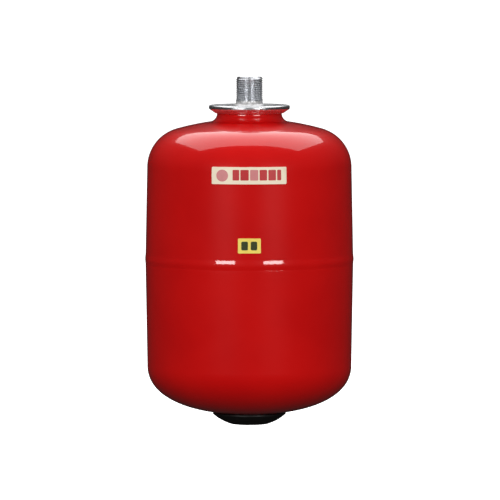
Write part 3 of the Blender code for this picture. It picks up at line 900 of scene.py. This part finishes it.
def dust_cap_outline():
    top = CAP_BOTTOM_Z + CAP_H
    floor_z = CAP_BOTTOM_Z + 1.2 * MM
    inside = CAP_R - CAP_T
    rim = rounded([
        (0, floor_z, 0), (inside, floor_z, 0.15 * MM), (inside, top, 0.3 * MM),
        (CAP_R, top, 0.35 * MM), (CAP_R, CAP_BOTTOM_Z + 0.9 * MM, 0)], 4)
    side = spread([rim[-1], (CAP_R, CAP_BOTTOM_Z + CAP_EDGE)], 0.3 * MM)[1:]
    crown = arc(CAP_R - CAP_EDGE, CAP_BOTTOM_Z + CAP_EDGE, CAP_EDGE, 0, -90, 6)[1:]
    dimple = CAP_BOTTOM_Z + 0.25 * MM
    return (spread(rim, 0.8 * MM) + side + crown
            + [(2.0 * MM, CAP_BOTTOM_Z), (1.7 * MM, dimple), (0, dimple)])


def knurled(angle, r, z):
    """Fine grip ribs round the dust cap's skirt."""
    if r < CAP_R - 0.05 * MM:
        return r, z
    band = clamp((z - CAP_BOTTOM_Z - CAP_EDGE) / (0.5 * MM),
                 (CAP_BOTTOM_Z + CAP_H - 1.6 * MM - z) / (0.4 * MM))
    return r - 0.22 * MM * band * (0.5 + 0.5 * math.cos(CAP_RIBS * angle)) ** 0.7, z


lathe("dust_cap_ribbed", dust_cap_outline(), 8 * CAP_RIBS, DUST_CAP_PLASTIC, "dust_cap",
      ["dust_cap"], closed=False, shape=knurled, crease=40)


# ---------------------------------------------------------------------------
# Bottom cap over the valve
# ---------------------------------------------------------------------------
def cover_outline():
    hub_in = NUT_CORNER_R + GAP
    hub_out = hub_in + 1.5 * MM
    hub_top = NUT_Z + NUT_H - 1.0 * MM
    start_r, start_z = COVER_R, COVER_RIM_Z - COVER_LIP_H
    run, fall = COVER_BASE_R - start_r, -start_z
    length = math.hypot(run, fall)
    side = []
    count = 20
    for i in range(count + 1):
        t = i / count
        off = -COVER_BOWL * 4 * t * (1 - t)
        side.append((start_r + run * t + fall / length * off,
                     start_z + fall * t - run / length * off))
    side[-1:] = arc(COVER_BASE_R - 0.2 * MM, 0.5 * MM, 0.5 * MM, -40, -90, 4)
    inner = [(r, z) for r, z in parallel([(COVER_R, COVER_RIM_Z)] + side[:-4], COVER_T)
             if r > hub_out + 2.5 * MM and COVER_T + 0.3 * MM < z < COVER_RIM_Z - 0.8 * MM]
    groove = 0.35 * MM
    gate = 0.4 * MM
    base = [(15.6 * MM, 0), (15.3 * MM, groove), (14.1 * MM, groove), (13.8 * MM, 0),
            (2.2 * MM, 0), (1.7 * MM, gate), (0, gate)]
    hub = rounded([
        (0, COVER_T, 0), (hub_in, COVER_T, 0.3 * MM), (hub_in, hub_top, 0.35 * MM),
        (hub_out, hub_top, 0.4 * MM), (hub_out, COVER_T, 0.8 * MM),
        (COVER_BASE_R + 1.0 * MM, COVER_T, 0)], 5)
    lip = rounded([
        inner[0], (COVER_R - COVER_T, COVER_RIM_Z, 0.45 * MM), (COVER_R, COVER_RIM_Z, 0.6 * MM),
        side[0]], 5)
    return hub + inner[::-1][:-1] + lip + side[1:] + base


lathe("bottom_cap_moulded", cover_outline(), 192, CAP_PLASTIC, "cover",
      ["valve_cover"], closed=False, crease=35)


# ---------------------------------------------------------------------------
# Labels: films with rounded corners and plain printed shapes
# ---------------------------------------------------------------------------
COLUMN_W = 0.9 * MM
SAME_COLUMN = 0.002 * MM       # columns closer than this are one
MIN_HALF_H = 0.02 * MM         # keeps a film's ends from closing to a point


def film(name, x, z, width, height, corner, off, thickness, finish, replaced=()):
    """Rounded rectangle wrapped round the wall; x runs along the wall."""
    columns = max(6, int(width / COLUMN_W))
    count = 6
    xs = {width / 2, -width / 2}
    for i in range(columns + 1):
        xs.add(-width / 2 + corner + (width - 2 * corner) * i / columns)
    for i in range(count + 1):
        offset = corner * (1 - math.cos(math.pi / 2 * i / count))
        xs.update((width / 2 - offset, -width / 2 + offset))
    steps = []
    for value in sorted(xs):
        if not steps or value - steps[-1] > SAME_COLUMN:
            steps.append(value)
    vertices = []
    faces = []
    rows = 4
    for lift in (off, off + thickness):
        for value in steps:
            past = max(0.0, abs(value) - (width / 2 - corner))
            dip = corner - math.sqrt(max(0.0, corner ** 2 - past ** 2))
            half = max(height / 2 - dip, MIN_HALF_H)
            for k in range(rows + 1):
                at_z = z - half + 2 * half * k / rows
                r = upper_wall_r(at_z) + lift
                angle = (x + value) / upper_wall_r(z)
                vertices.append((r * math.sin(angle), -r * math.cos(angle), at_z))
    line = rows + 1
    total = len(steps) * line
    for i in range(len(steps) - 1):
        for k in range(rows):
            a = i * line + k
            faces.append((a, a + 1, a + line + 1, a + line))
            faces.append((total + a, total + a + line, total + a + line + 1, total + a + 1))
        low = i * line
        high = low + rows
        faces.append((low, low + line, total + low + line, total + low))
        faces.append((high, total + high, total + high + line, high + line))
    last = (len(steps) - 1) * line
    for k in range(rows):
        faces.append((k, total + k, total + k + 1, k + 1))
        faces.append((last + k, last + k + 1, total + last + k + 1, total + last + k))
    piece(name, vertices, faces, finish, "vessel", replaced, crease=40)


INK_T = 0.04 * MM
BRAND_Z = UPPER_KNUCKLE_Z - 2.9 * MM
NOTICE_Z = SEAM_Z + 20.2 * MM
FILM_OFF = 0.02 * MM
FILM_T = 0.5 * MM
INK_OFF = FILM_OFF + FILM_T - 0.01 * MM    # the ink's back is inside the film

film("brand_label_film", -0.3 * MM, BRAND_Z, 73.2 * MM, 16.6 * MM, 1.2 * MM, FILM_OFF, FILM_T,
     CREAM_FILM, ["brand_label"])
film("notice_label_film", 0, NOTICE_Z, 22 * MM, 14.4 * MM, 1.0 * MM, FILM_OFF, FILM_T,
     YELLOW_FILM, ["notice_label"])

BRAND_PRINT = [
    # name, centre along the wall, centre above the label's own, width, height, corner (mm)
    ("brand_block", -26.4, 0.0, 11.6, 11.4, 5.6, ROSE_INK),
    ("brand_bar_1", -13.0, 0.5, 6.4, 10.2, 0.8, RED_INK),
    ("brand_bar_2", -4.6, 0.5, 8.0, 10.2, 0.8, RED_INK),
    ("brand_bar_3", 4.6, 0.5, 7.8, 10.2, 0.8, ROSE_INK),
    ("brand_bar_4", 13.4, 0.5, 7.2, 10.2, 0.8, RED_INK),
    ("brand_bar_5", 22.0, 0.5, 7.4, 10.2, 0.8, RED_INK),
    ("brand_bar_6", 28.9, 0.5, 4.0, 10.2, 0.8, RED_INK)]
for name, x, up, width, height, corner, ink in BRAND_PRINT:
    film(name, x * MM, BRAND_Z + up * MM, width * MM, height * MM, corner * MM,
         INK_OFF, INK_T, ink)

NOTICE_BLOCK_H = 8.4 * MM
NOTICE_BLOCK_CORNER = 1.4 * MM
for name, x, width in (("notice_block_1", -4.6, 6.4), ("notice_block_2", 4.4, 6.2)):
    film(name, x * MM, NOTICE_Z, width * MM, NOTICE_BLOCK_H, NOTICE_BLOCK_CORNER,
         INK_OFF, INK_T, DARK_INK)


# ---------------------------------------------------------------------------
# Studio
# ---------------------------------------------------------------------------
WHITE = (1.0, 1.0, 1.0)


def aim(thing, target):
    thing.rotation_euler = (Vector(target) - thing.location).to_track_quat("-Z", "Y").to_euler()


def soft_box(name, place, target, width, height, radiance, mirrored):
    """Area lamp; mirrored says whether glossy surfaces show it."""
    lamp = bpy.data.lights.new(name, "AREA")
    lamp.shape = "RECTANGLE"
    lamp.size = width
    lamp.size_y = height
    lamp.energy = radiance * math.pi * width * height
    made = bpy.data.objects.new(name, lamp)
    made.location = place
    bpy.context.scene.collection.objects.link(made)
    aim(made, target)
    made.visible_camera = False
    made.visible_glossy = mirrored


ROOF_Z = 1.27
ROOF_FRONT_Y = -0.28
ROOF_FRONT_HALF_W = 0.96
ROOF_BACK_Y = 0.98
ROOF_BACK_HALF_W = 1.0
ROOF_BOW = 0.62                # how much further back its middle reaches
ROOF_RADIANCE = 2.25


def roof_panel():
    """Overhead diffuser: straight front edge, bowed back edge."""
    outline = [(-ROOF_FRONT_HALF_W, ROOF_FRONT_Y), (ROOF_FRONT_HALF_W, ROOF_FRONT_Y)]
    count = 16
    for i in range(count + 1):
        t = 1 - 2 * i / count
        outline.append((ROOF_BACK_HALF_W * t, ROOF_BACK_Y + ROOF_BOW * (1 - abs(t) ** 1.5)))
    data = bpy.data.meshes.new("roof_panel")
    data.from_pydata([(x, y, ROOF_Z) for x, y in outline], [],
                     [tuple(range(len(outline)))[::-1]])
    glow = Finish("roof_glow", roughness=0.9, base_color=(0.0, 0.0, 0.0),
                  emission_color=WHITE, emission_strength=ROOF_RADIANCE)
    data.materials.append(glow.material)
    panel = bpy.data.objects.new("roof_panel", data)
    bpy.context.scene.collection.objects.link(panel)
    panel.visible_camera = False


roof_panel()

MIDDLE = (0.0, 0.0, 0.16)
KEY_FAR = 4.0
KEY_TURN = math.radians(26.5)
KEY_RISE = math.radians(8.5)
FILL_RISE = math.radians(13.0)
KEY_W = 2 * KEY_FAR * math.tan(math.radians(10.5))
KEY_H = 2 * KEY_FAR * math.tan(math.radians(3.0))
LAMPS = [
    # part, rise, height, radiance, mirrored: the key makes the highlights
    ("_key", KEY_RISE, KEY_H, 15.0, True),
    ("_fill", FILL_RISE, 2 * KEY_H, 4.1, False)]
for side, name in ((-1, "left"), (1, "right")):
    for part, rise, tall, radiance, mirrored in LAMPS:
        flat = KEY_FAR * math.cos(rise)
        spot = (side * flat * math.sin(KEY_TURN), -flat * math.cos(KEY_TURN),
                MIDDLE[2] + KEY_FAR * math.sin(rise))
        soft_box(name + part, spot, MIDDLE, KEY_W, tall, radiance, mirrored)

FLOOR_HALF = 30.0
FLOOR_DROP = 0.06              # the vessel hangs, and its cap pulls off downwards
FLOOR_GLOW = 0.95
floor_mesh = bpy.data.meshes.new("studio_floor")
floor_mesh.from_pydata([(-FLOOR_HALF, -FLOOR_HALF, 0), (FLOOR_HALF, -FLOOR_HALF, 0),
                        (FLOOR_HALF, FLOOR_HALF, 0), (-FLOOR_HALF, FLOOR_HALF, 0)],
                       [], [(0, 1, 2, 3)])
floor = bpy.data.objects.new("studio_floor", floor_mesh)
floor.location.z = -FLOOR_DROP
bpy.context.scene.collection.objects.link(floor)
paper = Finish("pale_floor", roughness=0.9)
paper.set(base_color=paper.grain(40.0, 2.0).mix((0.90, 0.90, 0.90), (0.92, 0.92, 0.92)),
          emission_color=WHITE, emission_strength=FLOOR_GLOW)
floor_mesh.materials.append(paper.material)
floor.visible_glossy = False
floor.visible_diffuse = False

world = bpy.data.worlds.new("studio")
bpy.context.scene.world = world
world.use_nodes = True
sky_tree = world.node_tree
for node in list(sky_tree.nodes):
    sky_tree.nodes.remove(node)
sky = Flow(sky_tree)
direction = sky.node("ShaderNodeTexCoord", output=0)
height = sky.node("ShaderNodeSeparateXYZ", None, {0: direction}, 2)
paths = sky.node("ShaderNodeLightPath")
is_camera = Flow(sky_tree, paths.socket.node.outputs["Is Camera Ray"])
is_diffuse = Flow(sky_tree, paths.socket.node.outputs["Is Diffuse Ray"])
# A white backdrop behind the object, a dark room in the reflections, and a soft
# fill from above for the matt light.
room = 0.015 + 0.035 * height.between(0.0, 0.6)
fill = 0.13 + 0.36 * height.between(-0.25, 0.35)
level = is_diffuse * fill + (1 - is_diffuse) * room
level = is_camera + (1 - is_camera) * level
backdrop = sky.node("ShaderNodeBackground", None, {"Color": WHITE, "Strength": level})
sky.node("ShaderNodeOutputWorld", None, {"Surface": backdrop})

SENSOR_WIDTH = 36.0
LENS = 442.4
FARTHEST = 100.0
CAMERA_PLACE = (0.0006, -6.0, 0.583)
CAMERA_TARGET = (0.0006, 0.0, 0.1705)
camera_data = bpy.data.cameras.new("studio_camera")
camera_data.sensor_width = SENSOR_WIDTH
camera_data.lens = LENS
camera_data.clip_end = FARTHEST
camera = bpy.data.objects.new("studio_camera", camera_data)
bpy.context.scene.collection.objects.link(camera)
camera.location = CAMERA_PLACE
aim(camera, CAMERA_TARGET)
bpy.context.scene.camera = camera
bpy.context.scene.view_settings.view_transform = "Standard"
